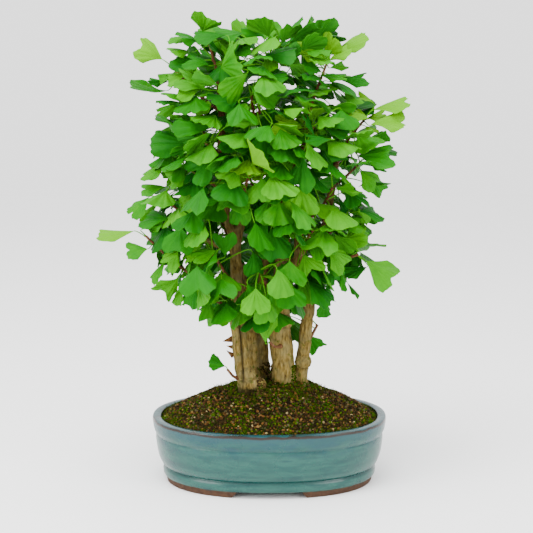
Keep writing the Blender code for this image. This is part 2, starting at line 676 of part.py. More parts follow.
def centre_on_origin():
    """Move everything so that the middle of the whole outline stands on the origin."""
    corners = [v.co for thing in bpy.data.objects for v in thing.data.vertices]
    shift = Vector([-(min(c[axis] for c in corners) + max(c[axis] for c in corners)) / 2
                    for axis in (0, 1)] + [0.0])
    for thing in bpy.data.objects:
        thing.data.transform(Matrix.Translation(shift))
        thing.data.update()


def main():
    remove_everything()
    glaze = material("teal_glaze", (0.12, 0.30, 0.28), 0.3)
    plastic = material("screen_plastic", (0.03, 0.03, 0.03), 0.6)
    earth = material("soil", (0.09, 0.06, 0.03), 0.95)
    bark = material("bark", (0.30, 0.22, 0.12), 0.9)
    foliage = material("foliage", (0.06, 0.30, 0.02), 0.6)
    pot = build_pot(glaze)
    build_screens(plastic)
    soil = build_soil(earth)
    tree = build_tree(bark)
    wood = surface(tree)
    crown = Crown([surface(thing) for thing in (pot, soil, tree)])
    build_shoots(crown, wood, foliage)
    centre_on_origin()


main()
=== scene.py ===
"""A ginkgo bonsai: five slim trunks with a dense crown of fan leaves, in a glazed oval pot."""

import math
import random

import bmesh
import bpy
from mathutils import Matrix, Vector, noise
from mathutils.bvhtree import BVHTree


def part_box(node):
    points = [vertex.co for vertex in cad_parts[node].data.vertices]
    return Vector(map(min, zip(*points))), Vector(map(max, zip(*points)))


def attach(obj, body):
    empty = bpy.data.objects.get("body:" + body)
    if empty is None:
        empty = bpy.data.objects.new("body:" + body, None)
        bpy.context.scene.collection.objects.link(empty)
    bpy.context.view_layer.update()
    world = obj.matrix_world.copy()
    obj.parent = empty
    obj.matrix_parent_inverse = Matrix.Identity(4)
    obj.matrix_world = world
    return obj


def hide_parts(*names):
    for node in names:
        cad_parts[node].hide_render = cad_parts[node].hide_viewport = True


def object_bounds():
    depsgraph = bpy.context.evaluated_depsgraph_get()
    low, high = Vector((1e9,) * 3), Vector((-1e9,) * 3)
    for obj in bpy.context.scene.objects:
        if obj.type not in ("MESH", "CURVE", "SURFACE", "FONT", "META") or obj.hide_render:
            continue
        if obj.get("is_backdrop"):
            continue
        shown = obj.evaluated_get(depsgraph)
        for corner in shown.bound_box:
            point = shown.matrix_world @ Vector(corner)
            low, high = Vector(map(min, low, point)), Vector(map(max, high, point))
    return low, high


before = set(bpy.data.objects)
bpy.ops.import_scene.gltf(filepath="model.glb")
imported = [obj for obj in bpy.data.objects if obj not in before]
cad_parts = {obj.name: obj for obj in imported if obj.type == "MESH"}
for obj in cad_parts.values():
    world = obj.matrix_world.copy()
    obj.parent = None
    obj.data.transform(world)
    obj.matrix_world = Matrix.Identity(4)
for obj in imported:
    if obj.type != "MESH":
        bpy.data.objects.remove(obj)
box_of_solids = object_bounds()

# The viewpoint. The pot stands in the middle of its own oval, a little right of the
# origin, and every place read from the front is taken from there.
pot_low, pot_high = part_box("pot")
pot_middle = Vector(((pot_low[0] + pot_high[0]) / 2, (pot_low[1] + pot_high[1]) / 2, 0.0))
camera_place = Vector((-0.003, -1.465, 0.456))
camera_dip = 8.8  # degrees below level
camera_lens = 94.7
sensor_width = 36.0


def add_object(name, data):
    """A new object in the scene."""
    thing = bpy.data.objects.new(name, data)
    bpy.context.scene.collection.objects.link(thing)
    return thing


camera = add_object("camera", bpy.data.cameras.new("camera"))
camera.data.sensor_width = sensor_width
camera.data.lens = camera_lens
camera.location = pot_middle + camera_place
camera.rotation_euler = (math.radians(90 - camera_dip), 0, 0)
bpy.context.scene.camera = camera


# The pot. Stoneware, pressed in an oval mould: a broad rim, a soft shoulder, a groove
# above the base band and four feet cut from the foot ring. It is dipped in a mottled
# teal glaze down to the feet, which stay bare clay. The groove and the upper groove
# are darkened with painted shade.
def only(thing):
    """Leave one object selected and active."""
    if bpy.context.mode != "OBJECT":
        bpy.ops.object.mode_set(mode="OBJECT")
    bpy.ops.object.select_all(action="DESELECT")
    thing.select_set(True)
    bpy.context.view_layer.objects.active = thing


def dress(thing, material, slot, *nodes):
    """Give a finished piece its material, and let it stand for its solids."""
    thing.data.materials.clear()
    thing.data.materials.append(material)
    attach(thing, "root")
    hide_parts(*nodes)


class Nodes:
    """A material's node tree, built up a line at a time."""

    def __init__(self, name, roughness, gloss=0.5):
        self.material = bpy.data.materials.new(name)
        self.material.use_nodes = True
        self.tree = self.material.node_tree
        self.shader = self.tree.nodes["Principled BSDF"]
        self.shader.inputs["Roughness"].default_value = roughness
        self.shader.inputs["Specular IOR Level"].default_value = gloss
        self.place = self.add("ShaderNodeTexCoord").outputs["Object"]

    def add(self, kind, **settings):
        node = self.tree.nodes.new(kind)
        for key, value in settings.items():
            setattr(node, key, value)
        return node

    def feed(self, socket, value):
        if isinstance(value, bpy.types.NodeSocket):
            self.tree.links.new(value, socket)
        else:
            socket.default_value = value

    def stretch(self, scale, source=None):
        node = self.add("ShaderNodeMapping")
        self.feed(node.inputs["Vector"], source or self.place)
        node.inputs["Scale"].default_value = scale
        return node.outputs["Vector"]

    def noise(self, scale, detail=4.0, source=None):
        node = self.add("ShaderNodeTexNoise")
        self.feed(node.inputs["Vector"], source or self.place)
        node.inputs["Scale"].default_value = scale
        node.inputs["Detail"].default_value = detail
        node.inputs["Roughness"].default_value = 0.55
        return node.outputs["Fac"]

    def ramp(self, value, *stops):
        """A colour ramp; a stop that is one number is a grey."""
        node = self.add("ShaderNodeValToRGB")
        self.feed(node.inputs["Fac"], value)
        ramp = node.color_ramp
        while len(ramp.elements) < len(stops):
            ramp.elements.new(0.5)
        for element, (place, colour) in zip(ramp.elements, stops):
            element.position = place
            element.color = (*colour, 1.0) if isinstance(colour, tuple) else (colour, colour, colour, 1.0)
        return node.outputs["Color"]

    def mix(self, share, a, b, blend="MIX"):
        node = self.add("ShaderNodeMix", data_type="RGBA", blend_type=blend)
        self.feed(node.inputs["Factor"], share)
        for socket, value in ((node.inputs["A"], a), (node.inputs["B"], b)):
            if isinstance(value, tuple) and len(value) == 3:
                value = (*value, 1.0)
            self.feed(socket, value)
        return node.outputs["Result"]

    def math(self, operation, a, b=0.0):
        node = self.add("ShaderNodeMath", operation=operation)
        self.feed(node.inputs[0], a)
        self.feed(node.inputs[1], b)
        return node.outputs[0]

    def height(self):
        node = self.add("ShaderNodeSeparateXYZ")
        self.feed(node.inputs[0], self.place)
        return node.outputs["Z"]

    def bump(self, value, strength, distance):
        node = self.add("ShaderNodeBump")
        node.inputs["Strength"].default_value = strength
        node.inputs["Distance"].default_value = distance
        self.feed(node.inputs["Height"], value)
        self.feed(self.shader.inputs["Normal"], node.outputs["Normal"])

    def colour(self, value):
        self.feed(self.shader.inputs["Base Color"], value)
        return self.material


pot_half = Vector(((pot_high[0] - pot_low[0]) / 2, (pot_high[1] - pot_low[1]) / 2, 0.0))
pot_squareness = 2.2
pot_steps = 144
rim_width = 0.009
rim_height = 0.070
foot_height = 0.007
drain_radius = 0.010
drain_reach = 0.055
drain_span = (0.004, 0.018)
drain_steps = 32
front_arch = ((0.040, 0.12), (0.033, 0.12))  # half length and depth of a cut, below and above
side_arch = ((0.15, 0.017), (0.15, 0.010))
below_floor = -0.001
crease_angle = 38
# Inset from the rim's outline, and height, in millimetres: the wall, then the foot ring
pot_courses = ((14.8, 7.2), (13.4, 7.0), (12.0, 7.6), (11.2, 9.4), (10.9, 12.5), (11.1, 15.2), (12.3, 16.7),
               (12.7, 17.5), (11.9, 18.4), (9.6, 20.4), (7.9, 24.0), (6.2, 28.5), (4.9, 34.0), (4.0, 40.0),
               (3.4, 46.0), (3.4, 50.5), (3.9, 52.3), (3.1, 54.0), (1.9, 56.0), (0.9, 59.5), (0.35, 63.5),
               (0.1, 66.3), (0.05, 68.2), (0.5, 69.5), (1.6, 70.0), (7.6, 70.0), (8.8, 69.4), (9.3, 68.0),
               (9.7, 55.0), (11.0, 30.0), (22.0, 14.2))
foot_courses = ((15.4, 0.0), (14.8, 0.5), (13.6, 7.6), (28.4, 7.6), (27.0, 0.5), (26.4, 0.0))


def on_oval(turn, half_x, half_y, power=pot_squareness):
    """The x and y of a point round a squarish oval, from the oval's middle."""
    c, s = math.cos(turn), math.sin(turn)
    return math.copysign(abs(c) ** (2 / power), c) * half_x, math.copysign(abs(s) ** (2 / power), s) * half_y


def oval_ring(inset, height, steps=pot_steps, half=pot_half, middle=pot_middle, power=pot_squareness):
    """Points round a squarish oval in metres, inset from its half widths."""
    ring = []
    for i in range(steps):
        x, y = on_oval(math.tau * i / steps, half.x - inset, half.y - inset, power)
        ring.append(Vector((middle.x + x, middle.y + y, height)))
    return ring


def turn_outward(thing, join=0.0):
    """Turn a mesh's faces outward, and first join points nearer than a distance."""
    only(thing)
    bpy.ops.object.mode_set(mode="EDIT")
    bpy.ops.mesh.select_all(action="SELECT")
    if join:
        bpy.ops.mesh.remove_doubles(threshold=join)
    bpy.ops.mesh.normals_make_consistent(inside=False)
    bpy.ops.object.mode_set(mode="OBJECT")


def stacked(name, rings, loop=False):
    """A closed object from equal rings, capped at both ends or joined last to first."""
    count = len(rings[0])
    faces = []
    for k in range(len(rings) if loop else len(rings) - 1):
        low, high = k * count, (k + 1) % len(rings) * count
        faces += [(low + i, low + (i + 1) % count, high + (i + 1) % count, high + i) for i in range(count)]
    if not loop:
        faces += [tuple(range(count))[::-1], tuple(range((len(rings) - 1) * count, len(rings) * count))]
    mesh = bpy.data.meshes.new(name)
    mesh.from_pydata([p for ring in rings for p in ring], [], faces)
    thing = add_object(name, mesh)
    turn_outward(thing)
    return thing


def carve(thing, cutter, operation="DIFFERENCE"):
    """Cut one object with another, or join the two, and remove the second."""
    only(thing)
    modifier = thing.modifiers.new("carve", "BOOLEAN")
    modifier.operation = operation
    modifier.object = cutter
    bpy.ops.object.modifier_apply(modifier=modifier.name)
    bpy.data.objects.remove(cutter, do_unlink=True)


def sloped_block(name, half_low, half_high, low, high):
    """A block whose sides lean in, centred on the pot."""
    rings = []
    for (hx, hy), z in ((half_low, low), (half_high, high)):
        rings.append([pot_middle + Vector((sx * hx, sy * hy, z))
                      for sx, sy in ((-1, -1), (1, -1), (1, 1), (-1, 1))])
    return stacked(name, rings)


pot_body = stacked("pot_body", [oval_ring(inset / 1000, z / 1000) for inset, z in pot_courses])
foot_ring = stacked("foot_ring", [oval_ring(inset / 1000, z / 1000) for inset, z in foot_courses], loop=True)
carve(foot_ring, sloped_block("front_arch", *front_arch, below_floor, foot_height))
carve(foot_ring, sloped_block("side_arch", *side_arch, below_floor, foot_height))
carve(pot_body, foot_ring, "UNION")
for side in (-1, 1):
    drain = stacked("drain", [oval_ring(0, z, drain_steps, Vector((drain_radius, drain_radius, 0)),
                                        pot_middle + Vector((side * drain_reach, 0, 0)), 2.0)
                              for z in drain_span])
    carve(pot_body, drain)
only(pot_body)
bpy.ops.object.shade_smooth_by_angle(angle=math.radians(crease_angle))

glaze = Nodes("teal_glaze", 0.24, 0.32)
streaks = glaze.noise(1.0, 5.0, glaze.stretch((26, 26, 150)))
clouds = glaze.noise(38, 5.0)
teal = glaze.ramp(streaks, (0.32, (0.001, 0.034, 0.034)), (0.46, (0.005, 0.054, 0.046)),
                  (0.56, (0.012, 0.077, 0.060)), (0.70, (0.002, 0.038, 0.038)))
teal = glaze.mix(glaze.ramp(clouds, (0.40, 0), (0.68, 0.7)), teal, (0.011, 0.068, 0.053))
specks = glaze.ramp(glaze.noise(420, 2.0), (0.60, 0), (0.70, 0.5))
teal = glaze.mix(specks, teal, (0.004, 0.036, 0.034))
level = glaze.math("MULTIPLY", glaze.height(), 1 / rim_height)
waver = glaze.math("MULTIPLY", glaze.math("SUBTRACT", glaze.noise(60, 3.0), 0.5), 0.05)
level = glaze.math("ADD", level, waver)
upper = glaze.mix(glaze.ramp(glaze.noise(1.0, 4.0, glaze.stretch((45, 45, 120))), (0.42, 0),
                             (0.62, 0.8)), teal, (0.003, 0.040, 0.056))
teal = glaze.mix(glaze.ramp(level, (0.58, 0), (0.80, 0.85)), teal, upper)
# Painted shade: dark bands in the glaze along the groove above the base band and, fainter, along the upper groove.
groove_painted_shade = glaze.ramp(level, (0.20, 0), (0.24, 0.5), (0.262, 0.5),
                    (0.31, 0), (0.71, 0), (0.745, 0.2), (0.78, 0))
teal = glaze.mix(groove_painted_shade, teal, (0.001, 0.026, 0.027))
rim_blue = glaze.ramp(level, (0.80, 0), (0.93, 0.75))
teal = glaze.mix(rim_blue, teal, (0.008, 0.048, 0.058))
clay_line = glaze.ramp(level, (0.948, 0), (0.962, 0.95), (0.988, 0.95),
                       (0.999, 0))
teal = glaze.mix(clay_line, teal, (0.016, 0.007, 0.003))
clay_tone = glaze.ramp(glaze.noise(260, 4.0), (0.3, (0.030, 0.012, 0.005)), (0.7, (0.066, 0.030, 0.013)))
bare = glaze.ramp(level, (0.085, 1), (0.11, 0))
glaze.feed(glaze.shader.inputs["Roughness"],
           glaze.mix(bare, glaze.ramp(clouds, (0.3, 0.2), (0.7, 0.36)), (0.85, 0.85, 0.85)))
glaze.bump(glaze.noise(170, 5.0), 0.25, 0.0012)
dress(pot_body, glaze.colour(glaze.mix(bare, teal, clay_tone)), "glaze", "pot")


# The drain screens. Two squares of black plastic mesh that keep the soil in, laid loose
# over the drain holes. Each is a grid turned to bars, closed round its outer edge.
screen_bars = 11
screen_bar = 0.0009
screen_blacks = ((0.012, 0.012, 0.012), (0.03, 0.03, 0.03))
for name in ("drain_screen_left", "drain_screen_right"):
    low, high = (Vector(corner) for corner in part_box(name))
    only(camera)
    bpy.ops.mesh.primitive_grid_add(x_subdivisions=screen_bars, y_subdivisions=screen_bars, size=1)
    screen = bpy.context.object
    screen.name = name + "_mesh"
    screen.data.transform(Matrix.Translation((low + high) / 2)
                          @ Matrix.Diagonal((high.x - low.x - screen_bar, high.y - low.y - screen_bar, 1, 1)))
    wire = screen.modifiers.new("bars", "WIREFRAME")
    wire.thickness = screen_bar
    bpy.ops.object.modifier_apply(modifier=wire.name)
    bpy.ops.object.mode_set(mode="EDIT")
    bpy.ops.mesh.select_mode(type="EDGE")
    bpy.ops.mesh.select_all(action="DESELECT")
    bpy.ops.mesh.select_non_manifold()
    bpy.ops.mesh.bridge_edge_loops()
    turn_outward(screen)
    plastic = Nodes(name + "_plastic", 0.55)
    shade = plastic.ramp(plastic.noise(900, 3.0), (0.3, screen_blacks[0]), (0.7, screen_blacks[1]))
    dress(screen, plastic.colour(shade), "screen", name)


# The soil mound. Damp dark earth with a bloom of green, heaped round the trunks and
# levelled just under the rim. It is stacked from oval rings, from the pot's floor up.
soil_edge = 0.0665
soil_top = 0.100
soil_rows = 34
soil_steps = 120
soil_clear = 0.0006  # between the soil and the pot's wall
soil_swell = 0.0016
soil_swell_scale = 60
soil_courses = ((0.0235, 0.0155), (0.0115, 0.031), (rim_width + 0.0011, 0.055),
                (rim_width + soil_clear, soil_edge - 0.003))
foot_half = Vector((0.050, 0.032, 0))
foot_middle = pot_middle + Vector((0.004, -0.004, 0))


def soil_height(share):
    """Height of the mound from the rim, 0, to the trunks, 1."""
    return soil_edge + (soil_top - soil_edge) * math.sin(share * math.pi / 2)


def soil_point(turn, share):
    """A point on the mound, at a turn round the trunks and a share of the way in to them."""
    wall = Vector((rim_width + soil_clear, rim_width + soil_clear, 0))
    half = (pot_half - wall) * (1 - share) + foot_half * 0.5 * share
    middle = pot_middle * (1 - share) + foot_middle * share
    x, y = on_oval(turn, half.x, half.y)
    swell = noise.noise(Vector((x * soil_swell_scale, y * soil_swell_scale, 3))) * soil_swell
    return Vector((middle.x + x, middle.y + y, soil_height(share) + swell * min(1, share * 8)))


rings = [oval_ring(inset, height, soil_steps) for inset, height in soil_courses]
rings += [[soil_point(math.tau * i / soil_steps, k / soil_rows) for i in range(soil_steps)]
          for k in range(soil_rows)]
mound = stacked("soil_mound", rings)
only(mound)
bpy.ops.object.shade_smooth()
earth = Nodes("soil", 0.95, 0.03)
earth_tone = earth.ramp(earth.noise(420, 6.0), (0.30, (0.003, 0.002, 0.0005)), (0.50, (0.014, 0.009, 0.003)),
                        (0.68, (0.032, 0.022, 0.007)))
earth_moss = earth.ramp(earth.noise(120, 5.0), (0.48, 0), (0.60, 0.8))
earth.bump(earth.noise(700, 6.0), 0.9, 0.003)
dress(mound, earth.colour(earth.mix(earth_moss, earth_tone, (0.012, 0.028, 0.001))), "soil", "soil")


# The granules. Fired clay, pumice and bark crumbs, each a small ball turned, squashed
# and toned by chance. They lie loose on the mound, thickest toward the rim.
granule_count = 6500
granule_sizes = (0.0007, 0.0018)
granule_sink = 0.25
mound_span = (0.004, 0.97)  # of the way in from the rim that lumps lie on
patch_scale, patch_level = 45, 8
bare_chance = 0.8  # that a lump is left out where its kind doesn't grow
lump_stretch = ((0.8, 1.3), (0.7, 1.1), (0.6, 1.0))
lump_light = (0.75, 1.3)
rim_share = 0.03  # lumps this near the rim are moved in, off the pot's wall
granule_tones = ((0.020, 0.011, 0.003), (0.045, 0.022, 0.006), (0.10, 0.045, 0.010), (0.15, 0.085, 0.025),
                 (0.26, 0.20, 0.085), (0.012, 0.008, 0.003), (0.055, 0.048, 0.020))
granule_shares = (10, 11, 6, 2, 0.6, 8, 5)


def lumps(name, count, sizes, tones, shares, sink, seed, patches=None, place=None):
    """Loose lumps over the mound, or where place says, in one mesh."""
    dice = random.Random(seed)
    ball = bmesh.new()
    bmesh.ops.create_icosphere(ball, subdivisions=1, radius=1.0)
    corners = [v.co.copy() for v in ball.verts]
    sides = [[v.index for v in f.verts] for f in ball.faces]
    ball.free()
    points, faces, colours = [], [], []
    placed = 0
    while placed < count:
        turn, share = dice.uniform(0, math.tau), 1 - math.sqrt(dice.uniform(0.0, 1.0))
        spot = place(dice) if place else soil_point(turn, share * mound_span[1] + mound_span[0])
        patch = Vector((spot.x * patch_scale, spot.y * patch_scale, patch_level))
        if patches and noise.noise(patch) < patches and dice.random() < bare_chance:
            placed += 0.2
            continue
        placed += 1
        size = dice.uniform(*sizes)
        inward = pot_middle - spot
        inward.z = 0
        if share < rim_share and not place:
            spot += inward.normalized() * size
        turned = Matrix.Rotation(dice.uniform(0, math.tau), 3, Vector((dice.random(), dice.random(), 1)))
        shape = turned @ Matrix.Diagonal([size * dice.uniform(*span) for span in lump_stretch])
        light = dice.uniform(*lump_light)
        tone = [c * light for c in dice.choices(tones, shares)[0]] + [1.0]
        first = len(points)
        lifted = spot + Vector((0, 0, size * sink))
        points += [lifted + shape @ c for c in corners]
        faces += [[first + k for k in side] for side in sides]
        colours += tone * len(corners)
    mesh = bpy.data.meshes.new(name)
    mesh.from_pydata(points, [], faces)
    mesh.attributes.new("tone", "FLOAT_COLOR", "POINT").data.foreach_set("color", colours)
    return add_object(name, mesh)


granules = lumps("soil_granules", granule_count, granule_sizes, granule_tones, granule_shares,
                 granule_sink, 11)
stone = Nodes("granules", 0.9, 0.06)
stone_tone = stone.add("ShaderNodeAttribute", attribute_name="tone").outputs["Color"]
stone_grain = stone.ramp(stone.noise(1500, 4.0), (0.3, 0.45), (0.7, 1))
stone_tone = stone.mix(0.35, stone_tone, stone_grain, "MULTIPLY")
stone.bump(stone.noise(1800, 4.0), 0.6, 0.0006)
stone_material = stone.colour(stone_tone)
dress(granules, stone_material, "soil", "soil")


# The moss. Soft green cushions that have grown in patches between the granules, made
# of the same kind of lumps, closer and greener.
moss_count = 4200
moss_sizes = (0.0006, 0.0015)
moss_patches = 0.02
moss_tones = ((0.020, 0.060, 0.001), (0.045, 0.105, 0.001), (0.016, 0.028, 0.001), (0.080, 0.12, 0.002),
              (0.055, 0.048, 0.003))
moss_shares = (5, 3, 5, 1, 3)
moss = lumps("soil_moss", moss_count, moss_sizes, moss_tones, moss_shares, 0.5, 12, moss_patches)
moss_green = Nodes("moss", 1.0, 0.03)
moss_tone = moss_green.add("ShaderNodeAttribute", attribute_name="tone").outputs["Color"]
moss_grain = moss_green.ramp(moss_green.noise(2600, 3.0), (0.35, 0.3), (0.6, 1))
moss_tone = moss_green.mix(0.5, moss_tone, moss_grain, "MULTIPLY")
moss_green.bump(moss_green.noise(3000, 3.0), 1.0, 0.001)
moss_material = moss_green.colour(moss_tone)
dress(moss, moss_material, "soil", "soil")


# The tree. Five old trunks that share one root, with pruning knobs and rough tan-grey
# bark. The solid is copied, rounded off and furrowed lengthwise, and the left trunk gets
# the seam where its two stems have grown together, a groove darkened with painted shade.
triangle_join = 0.00001
bark_cell = 0.0012
bark_passes = 6
furrow_depth = 0.0008
furrow_scales = (330, 55)  # across the trunk and along it
lump_scales = (90, 60)
fine_scales = (900, 220)
lump_depth = 0.0011
furrow_sharpness = 1.5
ridge_height, fine_share = 0.35, 0.35
root_top = 0.1
roughest, smoothest, smoothing = 1.35, 0.35, 3.2  # at the foot, in the crown, and per metre between
seam_low, seam_high = 0.106, 0.215
seam_width, seam_depth = 0.0015, 0.0030
seam_place, seam_slope = 0.0265, 0.06
seam_fade_low, seam_fade_high = 0.01, 0.03
front_facing = -0.15
girth, girth_top, girth_fade = 0.0016, 0.24, 0.1  # added to the trunks below the crown


def merged_copy(node, name):
    """A copy of a solid with its loose triangles joined."""
    thing = add_object(name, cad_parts[node].data.copy())
    turn_outward(thing, triangle_join)
    return thing


def rounded(thing, cell, passes):
    """Remesh a solid evenly and smooth its facets away."""
    only(thing)
    remesh = thing.modifiers.new("even", "REMESH")
    remesh.mode = "VOXEL"
    remesh.voxel_size = cell
    smooth = thing.modifiers.new("soft", "SMOOTH")
    smooth.iterations = passes
    smooth.factor = 0.5
    for modifier in (remesh, smooth):
        bpy.ops.object.modifier_apply(modifier=modifier.name)
    bpy.ops.object.shade_smooth()


def noise_at(p, scales):
    """Noise stretched along a trunk."""
    across, along = scales
    return noise.noise(Vector((p.x * across, p.y * across, p.z * along)))


trunks = merged_copy("tree", "trunks")
rounded(trunks, bark_cell, bark_passes)
facings = [vert.normal.copy() for vert in trunks.data.vertices]
seam_painted_shade = trunks.data.attributes.new("seam_painted_shade", "FLOAT", "POINT")
for number, (vert, facing) in enumerate(zip(trunks.data.vertices, facings)):
    p = vert.co.copy()
    rough = max(smoothest, roughest - (p.z - root_top) * smoothing)
    ridge = -abs(noise_at(p, furrow_scales)) * furrow_sharpness + ridge_height
    ridge += noise_at(p, fine_scales) * fine_share
    push = ridge * furrow_depth * rough + noise_at(p, lump_scales) * lump_depth * rough
    if facing.y < front_facing and seam_low < p.z < seam_high:
        aside = (p.x - pot_middle.x + seam_place + seam_slope * (p.z - seam_low)) / seam_width
        fade = min(1.0, (p.z - seam_low) / seam_fade_low, (seam_high - p.z) / seam_fade_high)
        push -= math.exp(-aside * aside) * seam_depth * fade
        # The seam's strength is kept for the painted shade that darkens the groove.
        seam_painted_shade.data[number].value = math.exp(-aside * aside) * fade
    vert.co = p + facing * (push + girth * max(0.0, min(1.0, (girth_top - p.z) / girth_fade)))
bark = Nodes("bark", 0.9, 0.08)
grain = bark.noise(1.0, 7.0, bark.stretch((460, 460, 120)))
patches = bark.noise(95, 5.0)
bark_tone = bark.ramp(grain, (0.28, (0.018, 0.011, 0.002)), (0.41, (0.085, 0.056, 0.013)),
                      (0.56, (0.165, 0.112, 0.026)), (0.75, (0.27, 0.20, 0.070)))
pale = bark.ramp(patches, (0.42, 0), (0.64, 0.55))
bark_tone = bark.mix(pale, bark_tone, (0.16, 0.135, 0.055))
high = bark.ramp(bark.height(), (0.26, 0), (0.36, 0.85))
bark_tone = bark.mix(high, bark_tone, (0.050, 0.022, 0.008))
mossy = bark.math("ADD", bark.noise(140, 5.0), bark.math("MULTIPLY", bark.height(), -1.1))
mossy = bark.ramp(mossy, (0.43, 0), (0.52, 0.8))
bark_tone = bark.mix(mossy, bark_tone, (0.030, 0.055, 0.002))
bark.bump(bark.noise(1.0, 8.0, bark.stretch((900, 900, 190))), 0.8, 0.0015)
# Painted shade: the bark is darkened along the left trunk's seam groove.
seam_shade_mask = bark.add("ShaderNodeAttribute", attribute_name="seam_painted_shade").outputs["Fac"]
bark_tone = bark.mix(bark.math("MULTIPLY", seam_shade_mask, 0.9), bark_tone, (0.020, 0.013, 0.004))
buried = bark.math("ADD", bark.height(), bark.math("MULTIPLY", bark.noise(260, 4.0), 0.012))
buried = bark.ramp(buried, (0.108, 0.95), (0.114, 0))
bark_tone = bark.mix(buried, bark_tone, (0.010, 0.007, 0.0015))
dress(trunks, bark.colour(bark_tone), "bark", "tree")


# The litter. Granules, moss and root crumbs that hide the trunks' foot and fill the two
# forks between the front trunks. They are the soil's lumps, dropped on the tree.
tree_surface = BVHTree.FromPolygons([v.co for v in trunks.data.vertices],
                                    [tuple(f.vertices) for f in trunks.data.polygons])
foot_reach = Vector((0.055, 0.037, 0))
foot_high = 0.107
foot_level = 0.3  # least upward part of a facing that holds litter
crevices = ((0.0235, 0.0285, 0.098, 0.124), (-0.013, 0.003, 0.096, 0.124))  # left, right, low, high
crevice_lean = 2.4  # piles most of a crevice's litter at its bottom
crevice_front = -0.09
crevice_depth = 0.12
root_tones = ((0.030, 0.018, 0.005), (0.060, 0.036, 0.010), (0.025, 0.050, 0.001), (0.10, 0.060, 0.017))
root_shares = (6, 5, 3, 2)


def on_foot(dice):
    """A point on the level parts of the foot between the trunks, or None."""
    turn, share = dice.uniform(0, math.tau), math.sqrt(dice.random())
    over = foot_middle + Vector((math.cos(turn) * foot_reach.x, math.sin(turn) * foot_reach.y, 0)) * share
    hit, facing = tree_surface.ray_cast(over + Vector((0, 0, foot_high + 0.02)), Vector((0, 0, -1)))[:2]
    if hit is None or hit.z > foot_high or facing.z < foot_level:
        return None
    return hit


def in_crevice(number):
    """A rule for points in one of the forks between the front trunks."""
    left, right, low, high = crevices[number]

    def place(dice):
        height = low + (high - low) * dice.random() ** crevice_lean
        start = pot_middle + Vector((dice.uniform(left, right), crevice_front, height))
        return tree_surface.ray_cast(start, Vector((0, 1, 0)), crevice_depth)[0]

    return place


# Name, count, rule, sizes, tones and their shares, sink, seed and material
litter_rows = (
    ("foot_litter", 1900, on_foot, (0.0007, 0.0019), granule_tones, granule_shares, 0.15, 31, stone_material),
    ("foot_moss", 1500, on_foot, (0.0006, 0.0016), moss_tones, moss_shares, 0.6, 32, moss_material),
    ("fork_moss", 330, in_crevice(0), (0.0006, 0.0013), moss_tones, moss_shares, 0.0, 33, moss_material),
    ("root_crumbs", 520, in_crevice(1), (0.0006, 0.0015), root_tones, root_shares, 0.0, 34, stone_material))
for name, count, rule, sizes, tones, shares, sink, seed, material in litter_rows:
    found = [spot for spot in map(rule, [random.Random(name)] * (count * 4)) if spot][:count]
    heap = lumps(name, len(found), sizes, tones, shares, sink, seed, place=lambda dice: found.pop().copy())
    dress(heap, material, "soil", "tree")


# The moss strands. Tufts of short green and brown threads that stand up from the mound,
# from its rim and from round the trunks. Each thread is a slim three-sided spike.
strand_tufts = 900
strand_length = (0.0025, 0.0060)
strand_radius = 0.0003
strand_lean = 0.8
tuft_radius = 0.0014
tuft_bands = ((0.0, 1.0), (0.62, 0.93), (0.0, 0.06))  # shares of the way in from the rim
mound_chance = 0.7  # the other tufts stand on the foot
spike_faces = ((2, 1, 0), (0, 1, 3), (1, 2, 3), (2, 0, 3))
dice = random.Random(21)
points, faces = [], []
for _ in range(strand_tufts):
    share = dice.choice([dice.uniform(*band) for band in tuft_bands])
    base = soil_point(dice.uniform(0, math.tau), share) if dice.random() < mound_chance else on_foot(dice)
    if not base:
        continue
    for _ in range(dice.randint(4, 8)):
        lean = dice.uniform(-strand_lean, strand_lean), dice.uniform(-strand_lean, strand_lean)
        way = Vector((*lean, 1)).normalized()
        side = way.orthogonal().normalized() * strand_radius
        over = way.cross(side)
        foot = base + Vector((dice.uniform(-1, 1), dice.uniform(-1, 1), 0)) * tuft_radius
        first = len(points)
        points += [foot + side, foot - side * 0.5 + over * 0.87, foot - side * 0.5 - over * 0.87,
                   foot + way * dice.uniform(*strand_length)]
        faces += [tuple(first + corner for corner in face) for face in spike_faces]
mesh = bpy.data.meshes.new("moss_strands")
mesh.from_pydata(points, [], faces)
strands = add_object("moss_strands", mesh)
strand_green = Nodes("moss_strand", 0.9, 0.05)
strand_tone = strand_green.ramp(strand_green.noise(70, 3.0), (0.35, (0.030, 0.020, 0.003)),
                                (0.50, (0.030, 0.055, 0.001)), (0.65, (0.045, 0.12, 0.001)))
dress(strands, strand_green.colour(strand_tone), "soil", "soil")


